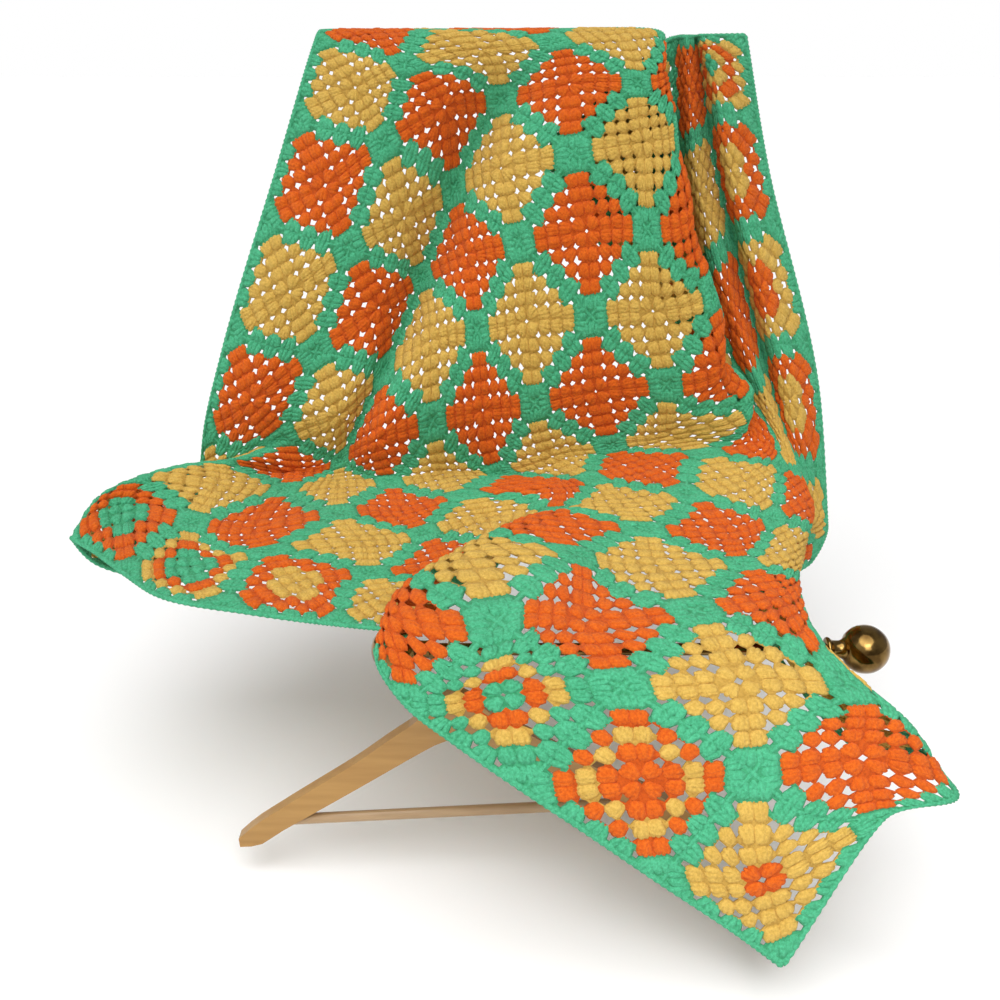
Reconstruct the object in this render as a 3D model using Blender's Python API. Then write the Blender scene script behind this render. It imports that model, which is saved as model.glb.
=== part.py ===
"""A granny square blanket, draped from an upper edge to a lower level and over its front.

The blanket is nine squares by nine, crocheted square by square and joined, so it is built as
one solid cloth of its true draped shape.  Its corner lies on an upper level, it hangs in a
panel, turns forward at a foot, lies on a lower level with a wing to the left, and falls over
a rod as a flap.  A wooden coat hanger hangs on the rod, under the flap.

Sizes are in metres unless a name says otherwise.  +Z is up and the front faces -Y.  The
origin is the middle of the top edge, where the panel turns over the upper level.
"""

from math import atan2, cos, pi, radians, sin, tau

import bmesh
import bpy
import numpy as np
from mathutils import Matrix, Vector

CM = 0.01

# Blanket
SQUARES_ACROSS = 9
FIRST_ROW = -2
LAST_ROW = 7
CLOTH_THICKNESS = 0.004
CELLS_PER_SQUARE = 4
UPPER_LEVEL_CM = 51.0
GAP_SIZE = 0.0075

# Rod and its two knobs, along X under the front fold
ROD_RADIUS = 0.006
ROD_LEFT = -0.060
ROD_RIGHT = 0.305
ROD_DEPTH = -0.400
ROD_HEIGHT_CM = -2.7
TOUCH_GAP = 0.0003

# Coat hanger, hung on the rod with its hook turned square to its arms
HANGER_CENTRE = -0.046
HANGER_THICKNESS = 0.014
HANGER_TILT = radians(-3.4)
HOOK_WIRE_RADIUS = 0.0019
HOOK_RADIUS = 0.019
BAR_RADIUS = 0.0055
BAR_DROP_CM = 17.6
BAR_HALF_LENGTH = 0.184

# Sections of the cloth.  Each row is one station of a section that runs down the blanket at
# a fixed count of squares across (0 is the left hem, 9 the right hem).  Its columns are the
# count of squares down (negative rows start behind the top edge), then x, y and z in
# centimetres, with z measured from the lower level.
SECTIONS = {
    0.0: (
        (-2.0, -13.0, 19.0, 51.4), (-0.3, -19.6, 1.0, 51.2), (0.0, -20.0, -0.6, 50.2),
        (1.5, -25.0, -1.4, 37.0), (3.2, -33.0, -2.4, 16.0), (4.0, -36.0, -3.0, 6.5),
        (4.6, -37.4, -3.4, -0.6), (5.2, -38.6, -5.0, -6.0), (6.0, -37.0, -11.0, -7.0),
        (7.0, -36.5, -21.0, -5.6),
    ),
    0.5: (
        (-2.0, -8.0, 18.5, 51.4), (-0.5, -14.0, 0.4, 51.2), (-0.2, -14.4, -2.0, 50.4),
        (0.5, -15.6, -3.8, 45.6), (1.5, -19.4, -4.0, 35.4), (2.5, -24.2, -4.2, 23.6),
        (3.5, -29.6, -4.2, 10.6), (4.1, -33.2, -3.4, 3.0), (4.6, -37.4, -4.2, 0.4),
        (5.2, -42.0, -6.6, -1.0), (6.2, -44.5, -14.5, -2.8), (7.0, -44.0, -21.5, -2.8),
    ),
    1.0: (
        (-2.0, -3.5, 17.0, 51.4), (-0.8, -8.4, -0.4, 51.2), (-0.5, -9.2, -2.6, 50.2),
        (0.5, -11.0, -4.6, 44.6), (2.0, -17.0, -4.8, 28.6), (3.5, -24.0, -4.8, 11.0),
        (4.1, -27.2, -3.8, 5.0), (4.6, -30.6, -6.6, 4.2), (5.5, -38.0, -10.0, 4.2),
        (6.5, -45.0, -17.5, 3.0), (7.0, -46.3, -22.0, 0.6),
    ),
    1.5: (
        (-2.0, 2.0, 14.0, 51.4), (-1.0, -0.4, -0.6, 51.2), (-0.7, -1.4, -2.8, 50.2),
        (0.5, -6.0, -3.8, 43.6), (1.5, -10.8, -3.6, 31.8), (2.5, -14.0, -4.4, 21.8),
        (3.5, -19.0, -6.5, 9.5), (4.1, -22.5, -4.0, 3.0), (4.6, -26.0, -4.5, 1.4),
        (5.5, -32.5, -12.5, 3.0), (6.5, -42.0, -18.0, 1.8), (7.0, -42.5, -25.5, 0.5),
    ),
    2.0: (
        (-2.0, 8.4, 5.5, 51.4), (-1.3, 6.4, -2.4, 51.2), (-1.0, 5.6, -4.0, 50.2),
        (0.5, -2.8, -0.7, 40.0), (1.5, -7.4, -0.7, 29.2), (2.5, -11.0, -1.8, 20.0),
        (3.5, -16.8, -5.0, 8.2), (4.1, -20.0, -4.6, 2.4), (4.7, -23.0, -6.5, 1.2),
        (5.5, -29.5, -17.0, 2.0), (6.5, -36.5, -24.0, 1.2), (7.0, -37.8, -30.5, 0.4),
    ),
    2.5: (
        (-2.0, 13.4, -1.2, 51.4), (-1.6, 12.6, -4.8, 51.1), (-1.3, 11.8, -6.6, 50.0),
        (-0.5, 7.3, -6.2, 46.0), (0.5, 0.1, -5.2, 37.4), (1.5, -3.8, -5.2, 28.0),
        (2.5, -8.0, -6.8, 18.5), (3.5, -14.5, -8.5, 7.0), (4.1, -17.6, -6.0, 1.8),
        (4.7, -20.5, -9.0, 1.0), (5.5, -26.5, -21.5, 1.6), (6.5, -31.5, -29.5, 0.8),
        (7.0, -33.0, -35.0, 0.3),
    ),
    3.2: (
        (-2.0, 17.0, -5.6, 50.2), (-1.6, 17.0, -7.8, 48.4), (-1.1, 15.9, -8.9, 45.8),
        (-0.5, 12.6, -8.6, 42.1), (0.5, 6.6, -8.2, 33.2), (1.5, 1.0, -7.4, 23.2),
        (2.5, -3.8, -7.8, 13.0), (3.35, -8.4, -6.6, 3.8), (4.3, -12.8, -12.0, 1.4),
        (5.5, -18.1, -24.3, 2.0), (6.5, -23.6, -32.3, 1.1), (7.0, -23.7, -38.3, 0.3),
    ),
    3.5: (
        (-2.0, 12.8, -4.6, 46.4), (-1.7, 15.2, -5.8, 46.6), (-1.35, 17.4, -8.0, 46.4),
        (-1.0, 16.9, -9.0, 44.2), (-0.5, 15.0, -9.0, 40.4), (0.5, 9.4, -8.8, 31.2),
        (1.5, 3.0, -7.8, 21.0), (2.5, -2.0, -7.8, 10.5), (3.3, -6.0, -6.0, 2.4),
        (4.5, -11.0, -16.5, 1.3), (5.5, -14.5, -25.5, 1.8), (6.5, -20.0, -33.5, 1.0),
        (7.0, -19.5, -39.5, 0.3),
    ),
    4.0: (
        (-2.0, 9.8, -4.4, 44.2), (-1.5, 14.4, -6.0, 43.8), (-1.1, 18.4, -8.0, 42.4),
        (-0.7, 18.6, -9.4, 38.4), (-0.3, 17.2, -9.6, 34.2), (0.5, 13.2, -9.4, 27.0),
        (1.5, 7.0, -8.6, 16.6), (2.4, 2.0, -7.6, 7.4), (3.1, -0.4, -7.4, 2.2),
        (4.5, -6.5, -17.2, 1.6), (5.5, -10.0, -27.4, 1.0), (6.5, -15.0, -35.5, 0.9),
        (7.0, -15.0, -40.6, 0.3),
    ),
    4.5: (
        (-2.0, 6.8, -4.2, 41.4), (-1.4, 12.0, -5.4, 39.8), (-0.8, 19.6, -8.0, 36.6),
        (-0.4, 20.6, -9.8, 31.6), (0.1, 19.0, -9.8, 26.2), (0.5, 17.0, -9.4, 22.5),
        (1.5, 11.0, -8.6, 13.0), (2.4, 6.5, -7.4, 5.2), (3.0, 5.6, -9.0, 2.6),
        (3.6, 5.8, -13.5, 3.2), (4.5, -1.5, -17.0, 0.8), (5.5, -5.5, -28.5, 0.8),
        (6.5, -10.0, -36.5, 0.6), (7.0, -10.5, -41.5, 0.3),
    ),
    5.0: (
        (-2.0, 4.6, -2.6, 37.6), (-1.2, 11.6, -4.4, 33.6), (-0.4, 21.2, -8.0, 29.2),
        (0.0, 23.4, -9.8, 24.8), (0.5, 21.6, -9.6, 18.8), (1.6, 15.5, -8.0, 9.0),
        (2.2, 12.0, -8.2, 5.2), (3.5, 9.0, -18.5, 4.0), (4.5, 2.0, -22.5, 1.4),
        (5.5, -0.5, -31.0, 1.4), (6.5, -4.5, -38.5, 1.4), (7.0, -5.9, -43.0, 1.4),
    ),
    5.4: (
        (-2.0, 8.0, -1.4, 39.6), (-1.5, 9.4, -1.8, 34.2), (-1.05, 11.4, -2.8, 28.8),
        (-0.5, 17.2, -5.8, 26.6), (0.1, 25.0, -8.2, 21.4), (0.5, 25.2, -9.4, 16.6),
        (0.9, 23.0, -8.8, 12.0), (1.5, 19.0, -7.6, 7.4), (2.2, 16.0, -9.5, 5.4),
        (3.5, 12.0, -22.0, 4.8), (4.5, 3.2, -26.5, 5.0), (5.5, -4.0, -35.0, 5.2),
        (6.4, -9.6, -43.5, 4.4), (7.0, -10.6, -48.0, 2.0),
    ),
    6.0: (
        (-2.0, 11.6, -0.9, 44.2), (-1.0, 15.6, -1.6, 32.0), (0.1, 20.6, -5.0, 19.8),
        (0.5, 25.0, -6.6, 16.6), (0.9, 29.2, -8.0, 12.8), (1.2, 29.0, -8.6, 9.4),
        (1.6, 26.6, -8.2, 6.8), (2.2, 22.5, -11.5, 5.8), (3.5, 18.5, -24.5, 4.4),
        (4.5, 10.5, -31.0, 4.2), (5.5, 4.2, -39.0, 4.8), (6.3, -2.8, -49.0, 2.0),
        (7.0, -8.0, -51.0, -1.6),
    ),
    6.5: (
        (-2.0, 15.0, -0.9, 47.2), (-1.0, 18.2, -1.4, 35.2), (0.0, 22.4, -3.2, 23.4),
        (1.1, 27.6, -6.0, 10.8), (1.55, 30.4, -8.8, 6.8), (2.3, 27.8, -15.0, 5.6),
        (3.5, 23.5, -27.0, 3.4), (4.5, 15.0, -35.0, 3.6), (5.4, 8.2, -44.0, 3.2),
        (6.4, 1.0, -51.0, 0.2), (7.0, -3.6, -53.0, -4.2),
    ),
    7.0: (
        (-2.0, 18.6, -0.7, 50.4), (-0.9, 20.6, -0.8, 37.4), (0.35, 25.0, -1.6, 21.6),
        (1.1, 29.6, -4.0, 11.6), (1.65, 32.6, -8.0, 6.4), (2.4, 31.4, -15.4, 4.4),
        (3.5, 26.6, -28.8, 2.8), (4.5, 20.8, -37.4, 3.0), (5.5, 14.2, -47.4, 1.8),
        (6.5, 6.0, -53.2, -3.2), (7.0, 2.0, -54.4, -7.8),
    ),
    7.5: (
        (-2.0, 19.9, -2.8, 50.6), (-0.5, 22.4, -3.4, 34.4), (0.5, 27.3, -4.2, 20.4),
        (1.5, 33.0, -7.2, 7.4), (2.4, 34.8, -15.0, 2.8), (3.5, 30.0, -29.0, 2.2),
        (4.5, 26.2, -38.8, 2.2), (5.5, 20.2, -50.0, 0.0), (6.5, 11.8, -54.5, -6.8),
        (7.0, 7.8, -55.8, -11.4),
    ),
    8.0: (
        (-2.0, 21.4, -0.8, 50.6), (-0.5, 24.8, -0.8, 36.0), (0.5, 29.2, -1.0, 22.6),
        (1.5, 33.6, -3.6, 9.0), (2.0, 35.2, -6.4, 4.0), (2.4, 36.6, -9.6, -0.4),
        (3.4, 32.8, -22.0, -0.4),
        (4.2, 29.0, -35.0, 0.8), (4.7, 28.6, -42.5, 0.4), (5.0, 30.4, -47.4, -1.6),
        (5.5, 25.8, -51.0, -3.2), (6.5, 17.0, -55.6, -11.0), (7.0, 13.6, -56.6, -15.6),
    ),
    8.5: (
        (-2.0, 21.4, -3.4, 50.8), (-1.5, 22.4, -3.8, 48.0), (-0.5, 25.5, -4.0, 37.0),
        (0.5, 29.9, -4.2, 23.8), (1.5, 34.6, -4.6, 10.6), (2.5, 38.2, -7.0, -3.6),
        (3.3, 34.0, -16.5, -2.8), (3.9, 28.5, -30.0, -0.8), (4.5, 27.5, -40.0, -0.4),
        (4.75, 31.5, -46.6, -3.6), (5.0, 35.5, -49.3, -4.6), (5.5, 31.0, -52.0, -6.4),
        (6.5, 22.2, -56.6, -15.4), (7.0, 19.6, -57.2, -20.0),
    ),
    9.0: (
        (-2.0, 26.6, -0.6, 50.8), (-0.5, 30.2, -0.8, 37.0), (1.5, 39.0, -1.4, 9.6),
        (2.6, 41.0, -4.0, -6.0), (3.2, 36.5, -14.0, -6.0), (3.9, 26.5, -29.0, -2.2),
        (4.5, 25.0, -40.0, -1.58), (4.8, 32.0, -47.6, -8.4), (5.0, 38.8, -50.0, -9.6),
        (6.0, 32.6, -54.2, -11.0), (7.0, 24.4, -58.0, -23.4),
    ),
}

# Outline of one hanger arm.  The columns are the distance out from the centre, then the top
# and the bottom of the wood, below the underside of the hook, all in centimetres.
HANGER_ARM_CM = (
    (0.0, 3.2, 8.4), (2.0, 4.4, 9.0), (3.5, 6.0, 9.8), (6.6, 8.2, 11.6), (10.0, 10.6, 13.6),
    (14.5, 13.4, 16.2), (18.5, 15.9, 18.5), (21.5, 17.9, 20.2), (23.0, 19.2, 20.2),
)

# Turned outline of a knob, from its collar outward.  The columns are the distance along the
# axis and the radius, in millimetres.
KNOB_PROFILE_MM = (
    (0.0, 8.5), (1.0, 11.0), (4.0, 11.5), (5.5, 9.8), (9.0, 8.4), (14.0, 8.4), (17.2, 10.0),
    (20.4, 14.8), (24.8, 18.8), (31.0, 22.0), (38.0, 23.0), (45.0, 22.0), (51.2, 18.8),
    (55.6, 14.8), (58.8, 9.7), (60.4, 4.8), (61.0, 0.0),
)

# Squares whose corner gaps are cut through, as columns and the first and last row of each.
OPEN_WORK_ROWS = {0: (0, 3), 1: (0, 4), 2: (-1, 3), 3: (-1, 3), 4: (0, 3), 5: (0, 6),
                  6: (3, 6), 7: (4, 6), 8: (-1, 1)}
OPEN_WORK_CORNER_SQUARE = (8, 6)


def clear_scene():
    for item in list(bpy.data.objects):
        bpy.data.objects.remove(item, do_unlink=True)


def material(name, colour, roughness, metallic=0.0):
    result = bpy.data.materials.new(name)
    result.use_nodes = True
    shader = result.node_tree.nodes["Principled BSDF"]
    shader.inputs["Base Color"].default_value = (*colour, 1.0)
    shader.inputs["Roughness"].default_value = roughness
    shader.inputs["Metallic"].default_value = metallic
    return result


def add_object(name, mesh, finish):
    item = bpy.data.objects.new(name, mesh)
    item.data.materials.append(finish)
    bpy.context.collection.objects.link(item)
    return item


def limited_slopes(knots, values):
    """Slopes at the knots that keep a cubic curve from overshooting its stations."""
    steps = np.diff(knots)[:, None]
    chords = np.diff(values, axis=0) / steps
    slopes = np.zeros_like(values)
    slopes[0] = chords[0]
    slopes[-1] = chords[-1]
    before, after = chords[:-1], chords[1:]
    inner = (before * steps[1:] + after * steps[:-1]) / (steps[1:] + steps[:-1])
    limit = 3.0 * np.minimum(np.abs(before), np.abs(after))
    mixed = np.clip(inner, -limit, limit)
    slopes[1:-1] = np.where(before * after > 0.0, mixed, 0.35 * inner)
    return slopes


def smooth_curve(knots, values, at):
    """A cubic curve through values at the knots, read at one place or many."""
    knots = np.asarray(knots, float)
    values = np.asarray(values, float)
    at = np.clip(np.atleast_1d(at), knots[0], knots[-1])
    slopes = limited_slopes(knots, values)
    piece = np.clip(np.searchsorted(knots, at, side="right") - 1, 0, len(knots) - 2)
    span = (knots[piece + 1] - knots[piece])[:, None]
    t = (at[:, None] - knots[piece][:, None]) / span
    start, end = values[piece], values[piece + 1]
    return (
        start * (2 * t**3 - 3 * t**2 + 1)
        + slopes[piece] * span * (t**3 - 2 * t**2 + t)
        + end * (3 * t**2 - 2 * t**3)
        + slopes[piece + 1] * span * (t**3 - t**2)
    )


def cloth_grid(across, down):
    """Points of the cloth's middle surface, by squares across and squares down."""
    sections = []
    for stations in SECTIONS.values():
        table = np.array(stations)
        sections.append(smooth_curve(table[:, 0], table[:, 1:], down))
    sections = np.array(sections)
    counts = np.array(list(SECTIONS))
    grid = np.empty((len(across), len(down), 3))
    for index in range(len(down)):
        grid[:, index] = smooth_curve(counts, sections[:, index], across)
    grid[:, :, 2] -= UPPER_LEVEL_CM
    return grid * CM


def grid_normals(grid):
    along_across = np.gradient(grid, axis=0)
    along_down = np.gradient(grid, axis=1)
    normals = np.cross(along_across, along_down)
    normals /= np.linalg.norm(normals, axis=2, keepdims=True)
    return normals


def open_work_cells():
    """Grid cells that hold a gap: the four inner ones of each open-work square."""
    squares = [OPEN_WORK_CORNER_SQUARE]
    for column, (first, last) in OPEN_WORK_ROWS.items():
        squares += [(column, row) for row in range(first, last + 1)]
    inner = (1, CELLS_PER_SQUARE - 2)
    return {
        (column * CELLS_PER_SQUARE + a, (row - FIRST_ROW) * CELLS_PER_SQUARE + b)
        for column, row in squares for a in inner for b in inner
    }


def blanket_mesh():
    columns = SQUARES_ACROSS * CELLS_PER_SQUARE
    rows = (LAST_ROW - FIRST_ROW) * CELLS_PER_SQUARE
    across = np.linspace(0.0, SQUARES_ACROSS, columns + 1)
    down = np.linspace(FIRST_ROW, LAST_ROW, rows + 1)
    middle = cloth_grid(across, down)
    normals = grid_normals(middle)
    points = [Vector(p) for p in middle.reshape(-1, 3)]
    outward = [Vector(n) for n in normals.reshape(-1, 3)]

    def corner(i, j):
        return i * (rows + 1) + j

    faces = []
    gaps = open_work_cells()
    for i in range(columns):
        for j in range(rows):
            ring = [corner(i, j), corner(i + 1, j), corner(i + 1, j + 1), corner(i, j + 1)]
            if (i, j) not in gaps:
                faces.append(ring)
                continue
            centre = sum((points[k] for k in ring), Vector()) / len(ring)
            reach = sum((points[k] - centre).length for k in ring) / len(ring)
            shrink = GAP_SIZE / 2.0**0.5 / reach
            inner_ring = []
            for k in ring:
                inner_ring.append(len(points))
                points.append(centre.lerp(points[k], shrink))
                outward.append(sum((outward[m] for m in ring), Vector()).normalized())
            for side in range(len(ring)):
                after = (side + 1) % len(ring)
                faces.append([ring[side], ring[after], inner_ring[after], inner_ring[side]])

    count = len(points)
    half = CLOTH_THICKNESS / 2.0
    vertices = [p + n * half for p, n in zip(points, outward)]
    vertices += [p - n * half for p, n in zip(points, outward)]
    edges = set()
    for face in faces:
        for side in range(len(face)):
            edges.add((face[side], face[(side + 1) % len(face)]))
    shell = [tuple(face) for face in faces]
    shell += [tuple(k + count for k in reversed(face)) for face in faces]
    for start, end in sorted(edges):
        if (end, start) not in edges:
            shell.append((end, start, start + count, end + count))

    mesh = bpy.data.meshes.new("blanket")
    mesh.from_pydata(vertices, [], shell)
    mesh.update()
    body = bmesh.new()
    body.from_mesh(mesh)
    bmesh.ops.recalc_face_normals(body, faces=body.faces)
    bmesh.ops.triangulate(body, faces=body.faces)
    body.to_mesh(mesh)
    body.free()
    return mesh


def turned_mesh(name, profile_mm, segments=32):
    """A solid turned about its local X axis from (along, radius) rows."""
    body = bmesh.new()
    rings = []
    for along, radius in profile_mm:
        if radius == 0.0:
            rings.append([body.verts.new((along * 0.001, 0.0, 0.0))])
            continue
        ring = []
        for step in range(segments):
            angle = tau * step / segments
            ring.append(body.verts.new(
                (along * 0.001, radius * 0.001 * cos(angle), radius * 0.001 * sin(angle))
            ))
        rings.append(ring)
    body.faces.new(list(reversed(rings[0])))
    for before, after in zip(rings, rings[1:]):
        for step in range(segments):
            following = (step + 1) % segments
            if len(after) == 1:
                body.faces.new((before[step], before[following], after[0]))
            else:
                body.faces.new((before[step], before[following], after[following], after[step]))
    bmesh.ops.recalc_face_normals(body, faces=body.faces)
    mesh = bpy.data.meshes.new(name)
    body.to_mesh(mesh)
    body.free()
    mesh.shade_smooth()
    mesh.set_sharp_from_angle(angle=radians(40))
    return mesh


def cylinder_mesh(name, radius, length, segments=20):
    """A cylinder along X with its middle at the origin."""
    body = bmesh.new()
    bmesh.ops.create_cone(body, cap_ends=True, segments=segments, radius1=radius,
                          radius2=radius, depth=length)
    bmesh.ops.rotate(body, verts=body.verts, matrix=Matrix.Rotation(pi / 2.0, 3, "Y"))
    mesh = bpy.data.meshes.new(name)
    body.to_mesh(mesh)
    body.free()
    mesh.shade_smooth()
    mesh.set_sharp_from_angle(angle=radians(40))
    return mesh


def hanger_arm_mesh():
    """Both arms as one piece of wood, its outline extruded through its thickness."""
    outs = np.array([row[0] for row in HANGER_ARM_CM])
    edges = -np.array([row[1:] for row in HANGER_ARM_CM])
    places = np.linspace(0.0, outs[-1], 21)
    right = smooth_curve(outs, edges, places)
    top = [(-p, e[0]) for p, e in zip(places[:0:-1], right[:0:-1])]
    top += [(p, e[0]) for p, e in zip(places, right)]
    bottom = [(p, e[1]) for p, e in zip(places[::-1], right[::-1])]
    bottom += [(-p, e[1]) for p, e in zip(places[1:], right[1:])]
    body = bmesh.new()
    outline = [body.verts.new((x * CM, -HANGER_THICKNESS / 2.0, z * CM)) for x, z in top + bottom]
    face = body.faces.new(outline)
    extruded = bmesh.ops.extrude_face_region(body, geom=[face])
    moved = [item for item in extruded["geom"] if isinstance(item, bmesh.types.BMVert)]
    bmesh.ops.translate(body, verts=moved, vec=(0.0, HANGER_THICKNESS, 0.0))
    bmesh.ops.recalc_face_normals(body, faces=body.faces)
    mesh = bpy.data.meshes.new("hanger_arms")
    body.to_mesh(mesh)
    body.free()
    return mesh


def hook_mesh(stem_length, sides=10):
    """A bent wire from the arms' top, up and over the rod, swept in the local YZ plane."""
    route = [(0.0, -stem_length), (0.0, -stem_length + 0.003), (0.0, -HOOK_RADIUS - 0.008)]
    for step in range(21):
        angle = radians(-52.0 + 12.0 * step)
        route.append((HOOK_RADIUS * cos(angle), HOOK_RADIUS * sin(angle)))
    body = bmesh.new()
    rings = []
    for index, (y, z) in enumerate(route):
        before = route[max(index - 1, 0)]
        after = route[min(index + 1, len(route) - 1)]
        heading = atan2(after[1] - before[1], after[0] - before[0])
        ring = []
        for side in range(sides):
            angle = tau * side / sides
            reach = HOOK_WIRE_RADIUS * sin(angle)
            ring.append(body.verts.new((
                HOOK_WIRE_RADIUS * cos(angle), y - reach * sin(heading), z + reach * cos(heading)
            )))
        rings.append(ring)
    body.faces.new(rings[0])
    body.faces.new(list(reversed(rings[-1])))
    for before, after in zip(rings, rings[1:]):
        for side in range(sides):
            following = (side + 1) % sides
            body.faces.new((before[side], before[following], after[following], after[side]))
    bmesh.ops.recalc_face_normals(body, faces=body.faces)
    mesh = bpy.data.meshes.new("hanger_hook")
    body.to_mesh(mesh)
    body.free()
    mesh.shade_smooth()
    return mesh


def build():
    clear_scene()
    yarn = material("yarn", (0.16, 0.55, 0.32), 0.9)
    wood = material("hanger wood", (0.42, 0.22, 0.09), 0.5)
    brass = material("antique brass", (0.45, 0.31, 0.12), 0.3, 1.0)
    steel = material("hook steel", (0.55, 0.55, 0.56), 0.3, 1.0)

    add_object("blanket", blanket_mesh(), yarn)

    rod_height = (ROD_HEIGHT_CM - UPPER_LEVEL_CM) * CM
    rod = add_object("rod", cylinder_mesh("rod", ROD_RADIUS, ROD_RIGHT - ROD_LEFT), brass)
    rod.location = ((ROD_RIGHT + ROD_LEFT) / 2.0, ROD_DEPTH, rod_height)

    knob = turned_mesh("knob", KNOB_PROFILE_MM)
    right_knob = add_object("knob_right", knob, brass)
    right_knob.location = (ROD_RIGHT + TOUCH_GAP, ROD_DEPTH, rod_height)
    left_knob = bpy.data.objects.new("knob_left", knob)
    bpy.context.collection.objects.link(left_knob)
    left_knob.location = (ROD_LEFT - TOUCH_GAP, ROD_DEPTH, rod_height)
    left_knob.rotation_euler = (0.0, 0.0, pi)

    hanger = bpy.data.objects.new("hanger", None)
    bpy.context.collection.objects.link(hanger)
    hook_drop = HOOK_RADIUS - HOOK_WIRE_RADIUS - ROD_RADIUS - TOUCH_GAP
    hanger.location = (HANGER_CENTRE, ROD_DEPTH, rod_height - hook_drop)
    hanger.rotation_euler = (0.0, HANGER_TILT, 0.0)

    arms = add_object("hanger_arms", hanger_arm_mesh(), wood)
    arms.parent = hanger
    bar = add_object("hanger_bar", cylinder_mesh("hanger_bar", BAR_RADIUS,
                                                 2.0 * BAR_HALF_LENGTH, 16), wood)
    bar.parent = hanger
    bar.location = (0.0, 0.0, -BAR_DROP_CM * CM)
    socket = bpy.data.objects.new(
        "bar_socket", cylinder_mesh("bar_socket", BAR_RADIUS + TOUCH_GAP,
                                    2.0 * (BAR_HALF_LENGTH + TOUCH_GAP), 16))
    bpy.context.collection.objects.link(socket)
    socket.parent = hanger
    socket.location = bar.location
    socket.display_type = "WIRE"
    socket.hide_render = True
    cut = arms.modifiers.new("bar socket", "BOOLEAN")
    cut.operation = "DIFFERENCE"
    cut.object = socket
    cut.solver = "EXACT"

    stem = HANGER_ARM_CM[0][1] * CM - TOUCH_GAP
    hook = add_object("hanger_hook", hook_mesh(stem), steel)
    hook.parent = hanger


build()
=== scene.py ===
from math import radians

import bpy
import numpy as np
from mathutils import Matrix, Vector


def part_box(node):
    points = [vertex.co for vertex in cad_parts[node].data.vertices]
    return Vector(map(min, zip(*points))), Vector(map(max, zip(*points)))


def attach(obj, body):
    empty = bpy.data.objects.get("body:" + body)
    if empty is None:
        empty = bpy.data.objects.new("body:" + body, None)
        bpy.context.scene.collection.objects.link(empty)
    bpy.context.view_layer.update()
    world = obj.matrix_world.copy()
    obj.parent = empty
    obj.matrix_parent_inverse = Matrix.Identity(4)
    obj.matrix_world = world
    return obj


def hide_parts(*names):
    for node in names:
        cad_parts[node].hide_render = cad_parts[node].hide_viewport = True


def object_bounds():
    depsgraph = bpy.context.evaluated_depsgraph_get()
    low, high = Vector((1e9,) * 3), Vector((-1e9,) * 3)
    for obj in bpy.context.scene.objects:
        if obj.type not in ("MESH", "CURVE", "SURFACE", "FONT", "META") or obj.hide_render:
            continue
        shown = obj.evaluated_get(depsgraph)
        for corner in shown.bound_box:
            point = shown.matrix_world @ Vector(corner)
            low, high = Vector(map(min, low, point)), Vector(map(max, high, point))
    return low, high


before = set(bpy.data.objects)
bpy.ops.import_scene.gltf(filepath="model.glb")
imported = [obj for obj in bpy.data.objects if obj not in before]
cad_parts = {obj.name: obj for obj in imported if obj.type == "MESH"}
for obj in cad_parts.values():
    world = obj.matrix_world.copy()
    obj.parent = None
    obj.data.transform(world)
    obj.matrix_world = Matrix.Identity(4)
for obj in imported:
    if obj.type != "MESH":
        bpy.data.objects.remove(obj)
cad_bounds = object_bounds()

# Camera, floor and light
# The view is from a standing person's height, looking down at the front of the drape.
# The floor is a plain pale sheet, lit by a wide soft light overhead in a white room.
camera_data = bpy.data.cameras.new("camera")
camera_data.lens = 39.6
camera_data.sensor_width = 36.0
camera = bpy.data.objects.new("camera", camera_data)
camera.location = (0.0, -1.303, -0.011)
camera.rotation_euler = (radians(67.5), 0.0, 0.0)
bpy.context.collection.objects.link(camera)
bpy.context.scene.camera = camera

FLOOR_SIZE = 60.0
FLOOR_DROP = 0.03
FLOOR_HEIGHT = float(np.asarray(cad_bounds)[0][2]) - FLOOR_DROP


def flat_grid(size, height, count):
    """Points on an even square grid at one height, centred on the origin."""
    line = np.linspace(-size / 2.0, size / 2.0, count)
    grid_x, grid_y = np.meshgrid(line, line, indexing="ij")
    return np.stack([grid_x, grid_y, np.full_like(grid_x, height)], axis=-1)


def grid_faces(rows, columns):
    """Corner numbers of each four-sided face of a grid, counted along its second index: the
    point itself, its neighbour in the next row, the one beside that and the one beside itself."""
    start = np.arange(rows - 1)[:, None] * columns + np.arange(columns - 1)[None, :]
    corners = np.stack([start, start + columns, start + columns + 1, start + 1], axis=-1)
    return corners.reshape(-1, 4)


def new_piece(name, points, faces, finish):
    """A smooth-shaded mesh object at the origin from arrays of points and of faces."""
    mesh = bpy.data.meshes.new(name)
    mesh.from_pydata(points.reshape(-1, 3), [], faces)
    mesh.polygons.foreach_set("use_smooth", np.ones(len(mesh.polygons), bool))
    for each in finish:
        mesh.materials.append(each)
    mesh.update()
    piece = bpy.data.objects.new(name, mesh)
    bpy.context.collection.objects.link(piece)
    return piece


pale = bpy.data.materials.new("pale floor")
pale.use_nodes = True
pale_shader = pale.node_tree.nodes["Principled BSDF"]
pale_shader.inputs["Base Color"].default_value = (0.97, 0.97, 0.97, 1.0)
pale_shader.inputs["Roughness"].default_value = 0.9
floor = new_piece("floor", flat_grid(FLOOR_SIZE, FLOOR_HEIGHT, 3), grid_faces(3, 3), [pale])

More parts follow.
